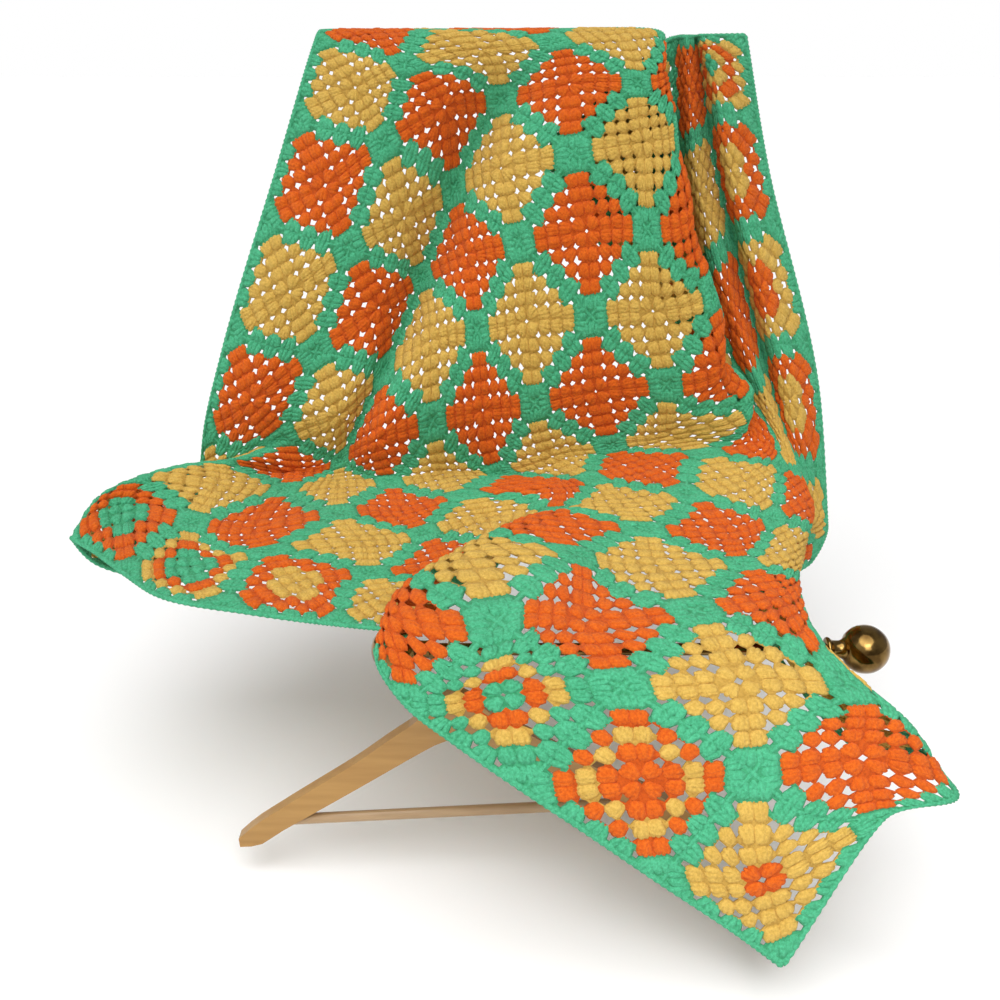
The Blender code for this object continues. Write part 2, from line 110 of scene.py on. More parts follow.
room = bpy.data.worlds.new("room")
room.use_nodes = True
room_nodes, room_links = room.node_tree.nodes, room.node_tree.links
room_nodes["Background"].inputs["Color"].default_value = (1.0, 1.0, 1.0, 1.0)
room_nodes["Background"].inputs["Strength"].default_value = 0.32
white_wall = room_nodes.new("ShaderNodeBackground")
white_wall.inputs["Color"].default_value = (1.0, 1.0, 1.0, 1.0)
seen_directly = room_nodes.new("ShaderNodeLightPath")
wall_or_light = room_nodes.new("ShaderNodeMixShader")
room_links.new(seen_directly.outputs["Is Camera Ray"], wall_or_light.inputs[0])
room_links.new(room_nodes["Background"].outputs[0], wall_or_light.inputs[1])
room_links.new(white_wall.outputs[0], wall_or_light.inputs[2])
room_links.new(wall_or_light.outputs[0], room_nodes["World Output"].inputs["Surface"])
bpy.context.scene.world = room
bpy.context.scene.view_settings.view_transform = "Standard"


def studio_light(name, turn, spread, strength):
    """An even light from far away, turned by three angles and as soft as its spread, in
    degrees."""
    lamp = bpy.data.lights.new(name, "SUN")
    lamp.angle = radians(spread)
    lamp.energy = strength
    item = bpy.data.objects.new(name, lamp)
    item.rotation_euler = tuple(radians(angle) for angle in turn)
    bpy.context.collection.objects.link(item)


studio_light("overhead_light", (22.0, 0.0, -20.0), 62.0, 2.35)
studio_light("front_light", (60.0, 0.0, -30.0), 70.0, 0.46)
near_light = bpy.data.lights.new("near_light", "AREA")
near_light.size = 0.6
near_light.energy = 0.9
near_light.spread = radians(75.0)
near_box = bpy.data.objects.new("near_light", near_light)
near_box.location = (0.3, -1.35, 0.2)
near_box.rotation_euler = (radians(42.0), 0.0, radians(4.0))
bpy.context.collection.objects.link(near_box)

# Draped surface
# The blanket hangs from an upper edge, turns at a foot, lies on a lower level and falls over
# a rail.  It is one surface through the same sections as the solid cloth.
CM = 0.01
SQUARES = 9
FIRST_ROW = -2
UPPER_LEVEL_CM = 51.0
# A section for each count of squares across.  A row is one station: the count of squares down,
# then x, y and z in centimetres, with z measured from the lower level.
SECTIONS = {
    0.0: (
        (-2.0, -13.0, 19.0, 51.4), (-0.3, -19.6, 1.0, 51.2), (0.0, -20.0, -0.6, 50.2),
        (1.5, -25.0, -1.4, 37.0), (3.2, -33.0, -2.4, 16.0), (4.0, -36.0, -3.0, 6.5),
        (4.6, -37.4, -3.4, -0.6), (5.2, -38.6, -5.0, -6.0), (6.0, -37.0, -11.0, -7.0),
        (7.0, -36.5, -21.0, -5.6),
    ),
    0.5: (
        (-2.0, -8.0, 18.5, 51.4), (-0.5, -14.0, 0.4, 51.2), (-0.2, -14.4, -2.0, 50.4),
        (0.5, -15.6, -3.8, 45.6), (1.5, -19.4, -4.0, 35.4), (2.5, -24.2, -4.2, 23.6),
        (3.5, -29.6, -4.2, 10.6), (4.1, -33.2, -3.4, 3.0), (4.6, -37.4, -4.2, 0.4),
        (5.2, -42.0, -6.6, -1.0), (6.2, -44.5, -14.5, -2.8), (7.0, -44.0, -21.5, -2.8),
    ),
    1.0: (
        (-2.0, -3.5, 17.0, 51.4), (-0.8, -8.4, -0.4, 51.2), (-0.5, -9.2, -2.6, 50.2),
        (0.5, -11.0, -4.6, 44.6), (2.0, -17.0, -4.8, 28.6), (3.5, -24.0, -4.8, 11.0),
        (4.1, -27.2, -3.8, 5.0), (4.6, -30.6, -6.6, 4.2), (5.5, -38.0, -10.0, 4.2),
        (6.5, -45.0, -17.5, 3.0), (7.0, -46.3, -22.0, 0.6),
    ),
    1.5: (
        (-2.0, 2.0, 14.0, 51.4), (-1.0, -0.4, -0.6, 51.2), (-0.7, -1.4, -2.8, 50.2),
        (0.5, -6.0, -3.8, 43.6), (1.5, -10.8, -3.6, 31.8), (2.5, -14.0, -4.4, 21.8),
        (3.5, -19.0, -6.5, 9.5), (4.1, -22.5, -4.0, 3.0), (4.6, -26.0, -4.5, 1.4),
        (5.5, -32.5, -12.5, 3.0), (6.5, -42.0, -18.0, 1.8), (7.0, -42.5, -25.5, 0.5),
    ),
    2.0: (
        (-2.0, 8.4, 5.5, 51.4), (-1.3, 6.4, -2.4, 51.2), (-1.0, 5.6, -4.0, 50.2),
        (0.5, -2.8, -0.7, 40.0), (1.5, -7.4, -0.7, 29.2), (2.5, -11.0, -1.8, 20.0),
        (3.5, -16.8, -5.0, 8.2), (4.1, -20.0, -4.6, 2.4), (4.7, -23.0, -6.5, 1.2),
        (5.5, -29.5, -17.0, 2.0), (6.5, -36.5, -24.0, 1.2), (7.0, -37.8, -30.5, 0.4),
    ),
    2.5: (
        (-2.0, 13.4, -1.2, 51.4), (-1.6, 12.6, -4.8, 51.1), (-1.3, 11.8, -6.6, 50.0),
        (-0.5, 7.3, -6.2, 46.0), (0.5, 0.1, -5.2, 37.4), (1.5, -3.8, -5.2, 28.0),
        (2.5, -8.0, -6.8, 18.5), (3.5, -14.5, -8.5, 7.0), (4.1, -17.6, -6.0, 1.8),
        (4.7, -20.5, -9.0, 1.0), (5.5, -26.5, -21.5, 1.6), (6.5, -31.5, -29.5, 0.8),
        (7.0, -33.0, -35.0, 0.3),
    ),
    3.2: (
        (-2.0, 17.0, -5.6, 50.2), (-1.6, 17.0, -7.8, 48.4), (-1.1, 15.9, -8.9, 45.8),
        (-0.5, 12.6, -8.6, 42.1), (0.5, 6.6, -8.2, 33.2), (1.5, 1.0, -7.4, 23.2),
        (2.5, -3.8, -7.8, 13.0), (3.35, -8.4, -6.6, 3.8), (4.3, -12.8, -12.0, 1.4),
        (5.5, -18.1, -24.3, 2.0), (6.5, -23.6, -32.3, 1.1), (7.0, -23.7, -38.3, 0.3),
    ),
    3.5: (
        (-2.0, 12.8, -4.6, 46.4), (-1.7, 15.2, -5.8, 46.6), (-1.35, 17.4, -8.0, 46.4),
        (-1.0, 16.9, -9.0, 44.2), (-0.5, 15.0, -9.0, 40.4), (0.5, 9.4, -8.8, 31.2),
        (1.5, 3.0, -7.8, 21.0), (2.5, -2.0, -7.8, 10.5), (3.3, -6.0, -6.0, 2.4),
        (4.5, -11.0, -16.5, 1.3), (5.5, -14.5, -25.5, 1.8), (6.5, -20.0, -33.5, 1.0),
        (7.0, -19.5, -39.5, 0.3),
    ),
    4.0: (
        (-2.0, 9.8, -4.4, 44.2), (-1.5, 14.4, -6.0, 43.8), (-1.1, 18.4, -8.0, 42.4),
        (-0.7, 18.6, -9.4, 38.4), (-0.3, 17.2, -9.6, 34.2), (0.5, 13.2, -9.4, 27.0),
        (1.5, 7.0, -8.6, 16.6), (2.4, 2.0, -7.6, 7.4), (3.1, -0.4, -7.4, 2.2),
        (4.5, -6.5, -17.2, 1.6), (5.5, -10.0, -27.4, 1.0), (6.5, -15.0, -35.5, 0.9),
        (7.0, -15.0, -40.6, 0.3),
    ),
    4.5: (
        (-2.0, 6.8, -4.2, 41.4), (-1.4, 12.0, -5.4, 39.8), (-0.8, 19.6, -8.0, 36.6),
        (-0.4, 20.6, -9.8, 31.6), (0.1, 19.0, -9.8, 26.2), (0.5, 17.0, -9.4, 22.5),
        (1.5, 11.0, -8.6, 13.0), (2.4, 6.5, -7.4, 5.2), (3.0, 5.6, -9.0, 2.6),
        (3.6, 5.8, -13.5, 3.2), (4.5, -1.5, -17.0, 0.8), (5.5, -5.5, -28.5, 0.8),
        (6.5, -10.0, -36.5, 0.6), (7.0, -10.5, -41.5, 0.3),
    ),
    5.0: (
        (-2.0, 4.6, -2.6, 37.6), (-1.2, 11.6, -4.4, 33.6), (-0.4, 21.2, -8.0, 29.2),
        (0.0, 23.4, -9.8, 24.8), (0.5, 21.6, -9.6, 18.8), (1.6, 15.5, -8.0, 9.0),
        (2.2, 12.0, -8.2, 5.2), (3.5, 9.0, -18.5, 4.0), (4.5, 2.0, -22.5, 1.4),
        (5.5, -0.5, -31.0, 1.4), (6.5, -4.5, -38.5, 1.4), (7.0, -5.9, -43.0, 1.4),
    ),
    5.4: (
        (-2.0, 8.0, -1.4, 39.6), (-1.5, 9.4, -1.8, 34.2), (-1.05, 11.4, -2.8, 28.8),
        (-0.5, 17.2, -5.8, 26.6), (0.1, 25.0, -8.2, 21.4), (0.5, 25.2, -9.4, 16.6),
        (0.9, 23.0, -8.8, 12.0), (1.5, 19.0, -7.6, 7.4), (2.2, 16.0, -9.5, 5.4),
        (3.5, 12.0, -22.0, 4.8), (4.5, 3.2, -26.5, 5.0), (5.5, -4.0, -35.0, 5.2),
        (6.4, -9.6, -43.5, 4.4), (7.0, -10.6, -48.0, 2.0),
    ),
    6.0: (
        (-2.0, 11.6, -0.9, 44.2), (-1.0, 15.6, -1.6, 32.0), (0.1, 20.6, -5.0, 19.8),
        (0.5, 25.0, -6.6, 16.6), (0.9, 29.2, -8.0, 12.8), (1.2, 29.0, -8.6, 9.4),
        (1.6, 26.6, -8.2, 6.8), (2.2, 22.5, -11.5, 5.8), (3.5, 18.5, -24.5, 4.4),
        (4.5, 10.5, -31.0, 4.2), (5.5, 4.2, -39.0, 4.8), (6.3, -2.8, -49.0, 2.0),
        (7.0, -8.0, -51.0, -1.6),
    ),
    6.5: (
        (-2.0, 15.0, -0.9, 47.2), (-1.0, 18.2, -1.4, 35.2), (0.0, 22.4, -3.2, 23.4),
        (1.1, 27.6, -6.0, 10.8), (1.55, 30.4, -8.8, 6.8), (2.3, 27.8, -15.0, 5.6),
        (3.5, 23.5, -27.0, 3.4), (4.5, 15.0, -35.0, 3.6), (5.4, 8.2, -44.0, 3.2),
        (6.4, 1.0, -51.0, 0.2), (7.0, -3.6, -53.0, -4.2),
    ),
    7.0: (
        (-2.0, 18.6, -0.7, 50.4), (-0.9, 20.6, -0.8, 37.4), (0.35, 25.0, -1.6, 21.6),
        (1.1, 29.6, -4.0, 11.6), (1.65, 32.6, -8.0, 6.4), (2.4, 31.4, -15.4, 4.4),
        (3.5, 26.6, -28.8, 2.8), (4.5, 20.8, -37.4, 3.0), (5.5, 14.2, -47.4, 1.8),
        (6.5, 6.0, -53.2, -3.2), (7.0, 2.0, -54.4, -7.8),
    ),
    7.5: (
        (-2.0, 19.9, -2.8, 50.6), (-0.5, 22.4, -3.4, 34.4), (0.5, 27.3, -4.2, 20.4),
        (1.5, 33.0, -7.2, 7.4), (2.4, 34.8, -15.0, 2.8), (3.5, 30.0, -29.0, 2.2),
        (4.5, 26.2, -38.8, 2.2), (5.5, 20.2, -50.0, 0.0), (6.5, 11.8, -54.5, -6.8),
        (7.0, 7.8, -55.8, -11.4),
    ),
    8.0: (
        (-2.0, 21.4, -0.8, 50.6), (-0.5, 24.8, -0.8, 36.0), (0.5, 29.2, -1.0, 22.6),
        (1.5, 33.6, -3.6, 9.0), (2.0, 35.2, -6.4, 4.0), (2.4, 36.6, -9.6, -0.4),
        (3.4, 32.8, -22.0, -0.4), (4.2, 29.0, -35.0, 0.8), (4.7, 28.6, -42.5, 0.4),
        (5.0, 30.4, -47.4, -1.6), (5.5, 25.8, -51.0, -3.2), (6.5, 17.0, -55.6, -11.0),
        (7.0, 13.6, -56.6, -15.6),
    ),
    8.5: (
        (-2.0, 21.4, -3.4, 50.8), (-1.5, 22.4, -3.8, 48.0), (-0.5, 25.5, -4.0, 37.0),
        (0.5, 29.9, -4.2, 23.8), (1.5, 34.6, -4.6, 10.6), (2.5, 38.2, -7.0, -3.6),
        (3.3, 34.0, -16.5, -2.8), (3.9, 28.5, -30.0, -0.8), (4.5, 27.5, -40.0, -0.4),
        (4.75, 31.5, -46.6, -3.6), (5.0, 35.5, -49.3, -4.6), (5.5, 31.0, -52.0, -6.4),
        (6.5, 22.2, -56.6, -15.4), (7.0, 19.6, -57.2, -20.0),
    ),
    9.0: (
        (-2.0, 26.6, -0.6, 50.8), (-0.5, 30.2, -0.8, 37.0), (1.5, 39.0, -1.4, 9.6),
        (2.6, 41.0, -4.0, -6.0), (3.2, 36.5, -14.0, -6.0), (3.9, 26.5, -29.0, -2.2),
        (4.5, 25.0, -40.0, -1.58), (4.8, 32.0, -47.6, -8.4), (5.0, 38.8, -50.0, -9.6),
        (6.0, 32.6, -54.2, -11.0), (7.0, 24.4, -58.0, -23.4),
    ),
}


STEEPEST = 3.0
TURNING_SLOPE = 0.35


def limited_slopes(knots, values):
    """Slopes at the knots for a curve that doesn't overshoot them.  Each is the mean of the
    chords before and after, weighted by the step on the other side.  It is at most three times
    the lesser chord, and about a third of that mean where the values turn back."""
    steps = np.diff(knots)[:, None]
    chords = np.diff(values, axis=0) / steps
    slopes = np.zeros_like(values)
    slopes[0] = chords[0]
    slopes[-1] = chords[-1]
    before, after = chords[:-1], chords[1:]
    inner = (before * steps[1:] + after * steps[:-1]) / (steps[1:] + steps[:-1])
    limit = STEEPEST * np.minimum(np.abs(before), np.abs(after))
    held = np.clip(inner, -limit, limit)
    slopes[1:-1] = np.where(before * after > 0.0, held, TURNING_SLOPE * inner)
    return slopes


def smooth_curve(knots, values, at):
    """A cubic curve read at many places at once.  Between two knots it weighs their values and
    slopes by the four Hermite cubics of the share of the way, t."""
    knots = np.asarray(knots, float)
    values = np.asarray(values, float)
    slopes = limited_slopes(knots, values)
    piece = np.clip(np.searchsorted(knots, at, side="right") - 1, 0, len(knots) - 2)
    span = (knots[piece + 1] - knots[piece])[:, None]
    t = (at[:, None] - knots[piece][:, None]) / span
    start, end = values[piece], values[piece + 1]
    return (
        start * (2 * t**3 - 3 * t**2 + 1)
        + slopes[piece] * span * (t**3 - 2 * t**2 + t)
        + end * (3 * t**2 - 2 * t**3)
        + slopes[piece + 1] * span * (t**3 - t**2)
    )


FINE_STEPS = 40
fine_across = np.linspace(0.0, SQUARES, SQUARES * FINE_STEPS + 1)
fine_down = np.linspace(FIRST_ROW, FIRST_ROW + SQUARES, SQUARES * FINE_STEPS + 1)
by_section = np.array([
    smooth_curve(np.array(rows)[:, 0], np.array(rows)[:, 1:], fine_down)
    for rows in SECTIONS.values()
])
section_places = np.array(list(SECTIONS))
drape = smooth_curve(section_places, by_section.reshape(len(section_places), -1), fine_across)
drape = drape.reshape(len(fine_across), len(fine_down), 3)
drape[:, :, 2] -= UPPER_LEVEL_CM
drape *= CM
face_out = -np.cross(np.gradient(drape, axis=0), np.gradient(drape, axis=1))
face_out /= np.linalg.norm(face_out, axis=2, keepdims=True)


def on_cloth(across, down, height):
    """Place on the draped surface, weighted from the four nearest fine points, then moved out
    along the surface's own direction by the height.  Past a hem it carries on straight."""
    a = across * FINE_STEPS
    d = (down - FIRST_ROW) * FINE_STEPS
    i = np.clip(np.floor(a).astype(int), 0, SQUARES * FINE_STEPS - 1)
    j = np.clip(np.floor(d).astype(int), 0, SQUARES * FINE_STEPS - 1)
    fa = (a - i)[..., None]
    fd = (d - j)[..., None]

    def weighted(grid):
        return (
            grid[i, j] * (1 - fa) * (1 - fd) + grid[i + 1, j] * fa * (1 - fd)
            + grid[i, j + 1] * (1 - fa) * fd + grid[i + 1, j + 1] * fa * fd
        )

    return weighted(drape) + weighted(face_out) * np.asarray(height)[..., None]


# Yarn
# All the crochet is one matt worsted yarn in three colours, plied from soft strands.  Fine
# slanting strands and short fuzz show close to, and each colour darkens in small patches.
STRANDS = 0.15


def yarn_group():
    """Colour runs between a deep and a bright tone by a weighted sum of wide, middle and fine
    noise.  The height is a weighted sum of plump plies, slanting strands and fine fuzz."""
    group = bpy.data.node_groups.new("yarn strands", "ShaderNodeTree")
    for name, kind in (("Bright", "NodeSocketColor"), ("Deep", "NodeSocketColor"),
                       ("Strands", "NodeSocketFloat")):
        group.interface.new_socket(name, in_out="INPUT", socket_type=kind)
    group.interface.new_socket("Color", in_out="OUTPUT", socket_type="NodeSocketColor")
    group.interface.new_socket("Height", in_out="OUTPUT", socket_type="NodeSocketFloat")
    nodes, links = group.nodes, group.links
    given = nodes.new("NodeGroupInput")
    result = nodes.new("NodeGroupOutput")
    place = nodes.new("ShaderNodeTexCoord")

    def noise(scale, detail, rough=0.5):
        texture = nodes.new("ShaderNodeTexNoise")
        texture.inputs["Scale"].default_value = scale
        texture.inputs["Detail"].default_value = detail
        texture.inputs["Roughness"].default_value = rough
        links.new(place.outputs["Object"], texture.inputs["Vector"])
        return texture.outputs["Fac"]

    def weigh(value, weight, plus=None):
        step = nodes.new("ShaderNodeMath")
        step.operation = "MULTIPLY_ADD"
        links.new(value, step.inputs[0])
        step.inputs[1].default_value = weight
        step.inputs[2].default_value = 0.0
        if plus is not None:
            links.new(plus, step.inputs[2])
        return step.outputs[0]

    patches = noise(40.0, 2.0)
    plies = noise(400.0, 3.0, 0.6)
    fuzz = noise(1200.0, 3.0, 0.7)
    slant = nodes.new("ShaderNodeTexWave")
    slant.wave_type = "BANDS"
    slant.bands_direction = "DIAGONAL"
    slant.inputs["Scale"].default_value = 1.7
    slant.inputs["Distortion"].default_value = 2.4
    slant.inputs["Detail"].default_value = 1.0
    links.new(place.outputs["UV"], slant.inputs["Vector"])

    tone = weigh(fuzz, 0.3, weigh(plies, 0.8, weigh(patches, 0.2)))
    contrast = nodes.new("ShaderNodeMapRange")
    contrast.inputs["From Min"].default_value = 0.5
    contrast.inputs["From Max"].default_value = 0.8
    links.new(tone, contrast.inputs["Value"])
    blend = nodes.new("ShaderNodeMix")
    blend.data_type = "RGBA"
    links.new(contrast.outputs["Result"], blend.inputs["Factor"])
    links.new(given.outputs["Deep"], blend.inputs["A"])
    links.new(given.outputs["Bright"], blend.inputs["B"])
    links.new(blend.outputs["Result"], result.inputs["Color"])

    strands = nodes.new("ShaderNodeMath")
    strands.operation = "MULTIPLY"
    links.new(slant.outputs["Fac"], strands.inputs[0])
    links.new(given.outputs["Strands"], strands.inputs[1])
    height = weigh(fuzz, 1.3, weigh(plies, 1.8, strands.outputs[0]))
    links.new(height, result.inputs["Height"])
    return group


strand_group = yarn_group()


def yarn(name, bright, deep):
    """A yarn colour: the strand group feeds the colour and a bump, with a slight sheen."""
    finish = bpy.data.materials.new(name)
    finish.use_nodes = True
    nodes, links = finish.node_tree.nodes, finish.node_tree.links
    shader = nodes["Principled BSDF"]
    shader.inputs["Roughness"].default_value = 0.95
    shader.inputs["Specular IOR Level"].default_value = 0.12
    shader.inputs["Sheen Weight"].default_value = 0.06
    shader.inputs["Sheen Roughness"].default_value = 0.6
    group = nodes.new("ShaderNodeGroup")
    group.node_tree = strand_group
    group.inputs["Bright"].default_value = (*bright, 1.0)
    group.inputs["Deep"].default_value = (*deep, 1.0)
    group.inputs["Strands"].default_value = STRANDS
    links.new(group.outputs["Color"], shader.inputs["Base Color"])
    bump = nodes.new("ShaderNodeBump")
    bump.inputs["Strength"].default_value = 0.8
    bump.inputs["Distance"].default_value = 0.0012
    links.new(group.outputs["Height"], bump.inputs["Height"])
    links.new(bump.outputs["Normal"], shader.inputs["Normal"])
    return finish


GREEN, ORANGE, MUSTARD = 0, 1, 2
yarns = [
    yarn("green yarn", (0.108, 0.59, 0.315), (0.05, 0.36, 0.17)),
    yarn("orange yarn", (0.88, 0.175, 0.012), (0.66, 0.094, 0.005)),
    yarn("mustard yarn", (0.85, 0.555, 0.125), (0.62, 0.37, 0.066)),
]

# Colours of the squares
# Each square has four coloured rounds and a green one that joins it to its neighbours.  The
# plain ones alternate orange and mustard like a chess board.  A few have mixed rounds: their
# columns are the count across, the count down and then the rounds from the middle outward.
MIXED_SQUARES = (
    (8, -2, (GREEN, MUSTARD, ORANGE, MUSTARD)),
    (8, -1, (MUSTARD, MUSTARD, ORANGE, ORANGE)),
    (8, 0, (ORANGE, ORANGE, MUSTARD, MUSTARD)),
    (8, 1, (MUSTARD, MUSTARD, ORANGE, ORANGE)),
    (8, 6, (ORANGE, MUSTARD, MUSTARD, MUSTARD)),
    (7, 6, (ORANGE, ORANGE, MUSTARD, ORANGE)),
    (6, 6, (GREEN, ORANGE, MUSTARD, GREEN)),
    (3, 6, (MUSTARD, MUSTARD, ORANGE, ORANGE)),
    (2, 6, (GREEN, GREEN, ORANGE, MUSTARD)),
    (1, 6, (GREEN, GREEN, ORANGE, ORANGE)),
)
ROUNDS = 5
column, row = np.meshgrid(np.arange(SQUARES), np.arange(SQUARES) + FIRST_ROW, indexing="ij")
round_colour = np.where(((column + row) % 2 == 1)[..., None], ORANGE, MUSTARD)
round_colour = np.repeat(round_colour, ROUNDS, axis=2)
for across, down, colours in MIXED_SQUARES:
    round_colour[across, down - FIRST_ROW, :4] = colours
round_colour[:, :, ROUNDS - 1] = GREEN

# Chain net
# Under the clusters runs the thin net of chain stitches that they are worked into.  It is one
# continuous sheet with an open space between neighbouring clusters of a round, and it carries
# each round's own colour in a darker tone: painted shade for the shade the clusters cast on it.
CELLS = 4 * ROUNDS
ROUND_STEP = 1.78
ROUND_HALF = 0.5
CORNER_FROM = 0.6
CORNER_SPAN = 0.25
CORNER_SOONER = 0.42
NET_THICKNESS = 0.0012


def net_cells():
    """Which cells of the net are open, and each one's colour, from its place in its square: a
    cell is open half way through a round, at every fourth step between two clusters.  A colour
    ends half a step past its round's middle, and a little sooner at a corner.  Lengths are in
    steps of a twentieth of a square."""
    place = np.arange(SQUARES * CELLS + 1)
    square = np.clip(place // CELLS, 0, SQUARES - 1)
    step = place - square * CELLS - CELLS // 2
    x, y = np.abs(step)[:, None], np.abs(step)[None, :]
    far, near = np.maximum(x, y), np.minimum(x, y)
    ring = (far + 1) // 2
    is_open = (far % 2 == 1) & ((near + 2 * ring) % 4 == 0) & (near <= 2 * ring - 4)
    is_open |= far == 0
    at_corner = np.clip((near / np.maximum(far, 1) - CORNER_FROM) / CORNER_SPAN, 0.0, 1.0)
    reached = far / ROUND_STEP - ROUND_HALF + CORNER_SOONER * at_corner
    ring = np.clip(np.ceil(reached).astype(int), 1, ROUNDS)
    colour = round_colour[square[:, None], square[None, :], ring - 1]
    return is_open, colour


net_lines = np.concatenate([[0.0], np.arange(SQUARES * CELLS) + 0.5, [SQUARES * CELLS]])
net_lines /= CELLS
net_u, net_v = np.meshgrid(net_lines, net_lines + FIRST_ROW, indexing="ij")
net_open, net_colour = net_cells()

PULL_TOP, PULL_LEFT = 2.0, 3.0
PULL_DOWN, PULL_ACROSS = 3.0, 2.0
HOLE_SIZES = np.array([0.5, 0.5, 0.76, 0.84, 0.86, 0.72])
HOLE_PULLED = 0.5
HOLE_INWARD = 0.12
HOLE_WIDE = 1.12
HOLE_TAPER = 0.2
HOLE_VARIES = 0.12
HOLE_WANDERS = 0.06


def pulled(across, down):
    """How far the cloth's own weight parts its stitches: not at all where it hangs from the
    top or lies flat at the left, rising evenly down and to the right to full in the front
    fold."""
    below = np.clip((down - PULL_TOP) / PULL_DOWN, 0.0, 1.0)
    return below * np.clip((across - PULL_LEFT) / PULL_ACROSS, 0.0, 1.0)


def shape_holes(across, down):
    """Moves the four corners of each open cell to a hole of its own.  Its middle lies on the
    line of its round, half way between two clusters.  It narrows outward and is a little
    uneven."""
    hand = np.random.default_rng(3)
    cell = np.stack(np.nonzero(net_open))
    square = np.clip(cell // CELLS, 0, SQUARES - 1)
    middle = cell - square * CELLS - CELLS // 2
    far = np.abs(middle).max(axis=0)
    outward = np.sign(middle) * (np.abs(middle) == far)
    ring = (far + 1) // 2
    aimed = np.where(outward != 0, outward * ROUND_STEP * ring, middle * ROUND_STEP / 2.0)
    centre = cell + aimed - middle - HOLE_INWARD * outward
    size = HOLE_SIZES[ring] * (1.0 + HOLE_PULLED * pulled(square[0], square[1] + FIRST_ROW))
    size *= 1.0 + hand.normal(0.0, HOLE_VARIES, len(size))
    side = np.stack([-outward[1], outward[0]])
    new_across, new_down = across * CELLS, (down - FIRST_ROW) * CELLS
    for a, b in ((-1, -1), (1, -1), (1, 1), (-1, 1)):
        corner = np.array([[a], [b]]) * size / 2.0
        along = (corner * outward).sum(axis=0)
        aside = (corner * side).sum(axis=0)
        taper = HOLE_WIDE - HOLE_TAPER * np.sign(along)
        moved = centre + np.where(far > 0, along * outward + aside * taper * side, corner)
        moved += hand.normal(0.0, HOLE_WANDERS, moved.shape)
        new_across[cell[0] + (a > 0), cell[1] + (b > 0)] = moved[0]
        new_down[cell[0] + (a > 0), cell[1] + (b > 0)] = moved[1]
    return new_across / CELLS, new_down / CELLS + FIRST_ROW


net_u, net_v = shape_holes(net_u, net_v)
net_points = on_cloth(net_u, net_v, np.zeros_like(net_u))
net_faces = grid_faces(len(net_lines), len(net_lines))
kept = ~net_open.reshape(-1)
net_faces = net_faces[kept][:, ::-1]
# The net's yarns are darker copies of the cluster yarns: painted shade.
shaded_yarns = [
    yarn("green net yarn, painted shade", (0.076, 0.46, 0.225), (0.035, 0.28, 0.12)),
    yarn("orange net yarn, painted shade", (0.72, 0.12, 0.009), (0.50, 0.065, 0.004)),
    yarn("mustard net yarn, painted shade", (0.68, 0.42, 0.088), (0.48, 0.27, 0.045)),
]
chain_net = new_piece("chain_net", net_points, net_faces, shaded_yarns)
net_slots = net_colour.reshape(-1)[kept].astype(np.int32)
chain_net.data.polygons.foreach_set("material_index", net_slots)
net_map = chain_net.data.uv_layers.new(name="UVMap")
corner_points = np.zeros(len(chain_net.data.loops), np.int32)
chain_net.data.loops.foreach_get("vertex_index", corner_points)
net_uv = np.stack([net_u.reshape(-1), net_v.reshape(-1)], axis=-1)[corner_points] * CELLS
net_map.data.foreach_set("uv", net_uv.reshape(-1))
thicken = chain_net.modifiers.new("thickness", "SOLIDIFY")
thicken.thickness = NET_THICKNESS
thicken.offset = 0.0
thicken.use_rim = True
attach(chain_net, "root")
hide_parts("blanket")

# Yarn clusters
# A round is worked in clusters of three tall stitches, each cluster into one space of the
# round before, so it fans out from a narrow foot to a wide top.  Round n has n clusters on
# each side.  They are full and soft, and stand as far behind the net as before it.

# Widths and places are in steps of a twentieth of a square, and heights are in metres.
STITCH_SIDES = 6
STITCH_RADIUS = 0.69
STITCH_HEIGHT = 0.0031
STITCH_LENGTH = 2.05
STITCH_ALONG = np.array([-0.09, 0.15, 0.78, 1.07])
STITCH_SWELL = np.array([0.36, 0.9, 1.0, 0.42])
MIDDLE_LONGER = 0.14
LEAN = np.array([-1.0, 0.0, 1.0])
FAN_FEET = np.array([0.12, 0.32, 0.32, 0.32, 0.6])
FAN_TOPS = np.array([0.86, 0.66, 0.66, 0.66, 1.15])
FAN_WIDER = 0.1
FAN_PULLED = 0.17
DOME = np.array([0.9, 1.08, 0.9])
LAST_ROUND_LOWER = 0.22
CORNER_REACH = 0.08
CORNER_DRAW = 0.16
CORNER_WIDTH = 0.03
CORNER_TILT = radians(38.0)
SIZE_VARIES = 0.05
PLUMP_VARIES = 0.08
TILT_VARIES = 0.06
PLACE_VARIES = 0.07
PAST_HEM = 0.01
LAST_EDGE = FIRST_ROW + SQUARES
hand = np.random.default_rng(7)


def cluster_places():
    """For one square, each cluster's round, its side, its place along that side and its tilt.
    The rounds step outward evenly and each is staggered by half a cluster from the last.  The
    end clusters of a side tilt towards the corner, where two of them make one bar."""
    ring = np.repeat(np.arange(1, ROUNDS + 1), 4 * np.arange(1, ROUNDS + 1))
    counted = np.concatenate([np.arange(4 * n) for n in range(1, ROUNDS + 1)])
    side = counted // ring
    place = counted % ring
    at_corner = (place == ring - 1).astype(float) - (place == 0)
    aside = CORNER_REACH * ring + CORNER_DRAW
    middle = ROUND_STEP * (2.0 * place - (ring - 1)) + aside * at_corner
    return ring, side, middle, CORNER_TILT * at_corner


cluster_ring, cluster_side, cluster_middle, cluster_tilt = cluster_places()


